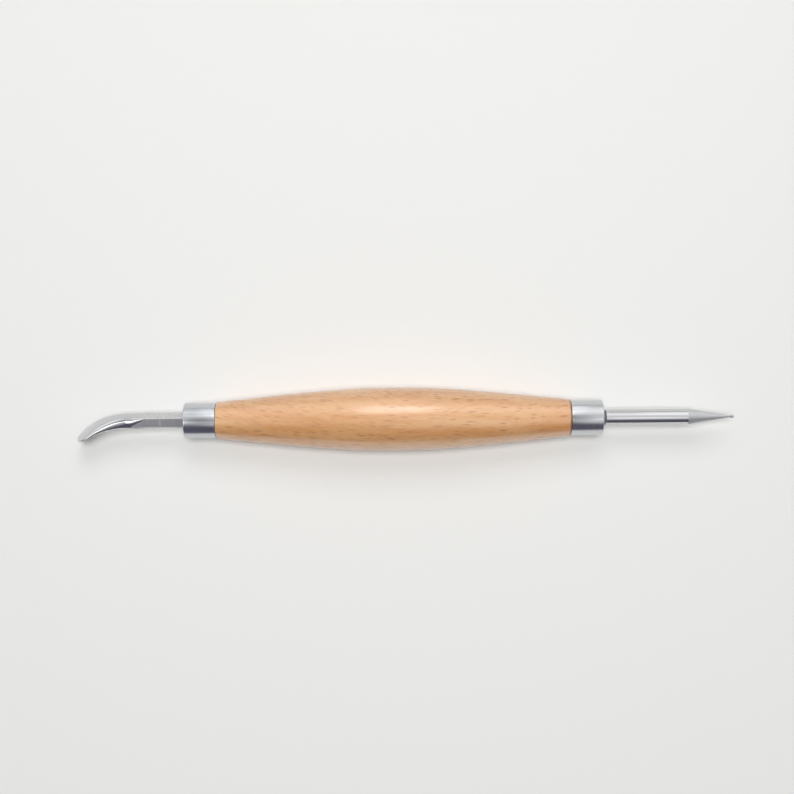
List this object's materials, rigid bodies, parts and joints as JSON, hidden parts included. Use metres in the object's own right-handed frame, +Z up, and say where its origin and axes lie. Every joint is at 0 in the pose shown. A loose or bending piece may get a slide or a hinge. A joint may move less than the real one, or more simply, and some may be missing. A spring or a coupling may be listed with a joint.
{
  "type": "leather modeling tool",
  "caption": "Leather modeling tool with a bent spoon at one end and a fine ball stylus at the other, held in metal ferrules on a spindle-shaped beech handle.",
  "frame": {"origin": "lowest point of the handle's belly at the middle of the handle, where the tool rests on a table", "axes": "+X along the tool towards the ball stylus, +Z up from the table, +Y completes the right-handed frame"},
  "size_m": [0.1677, 0.016, 0.0158],
  "materials": {
    "beech": "turned and sanded beech with fine dark flecks along the grain, clear satin lacquer",
    "nickel_plate": "bright nickel plate, lightly drawn along its length",
    "forged_steel": "square bar ground across its flats, spoon polished bright",
    "turned_steel": "polished rod with a satin ground cone and a polished ball",
    "adhesive": "cured dark epoxy"
  },
  "bodies": {
    "root": {"handle": "beech", "spoon_ferrule": "nickel_plate", "stylus_ferrule": "nickel_plate", "modeling_spoon": "forged_steel", "stylus_shank": "turned_steel", "stylus_ball": "turned_steel", "spoon_tang_adhesive": "adhesive", "stylus_tang_adhesive": "adhesive"}
  },
  "joints": []
}
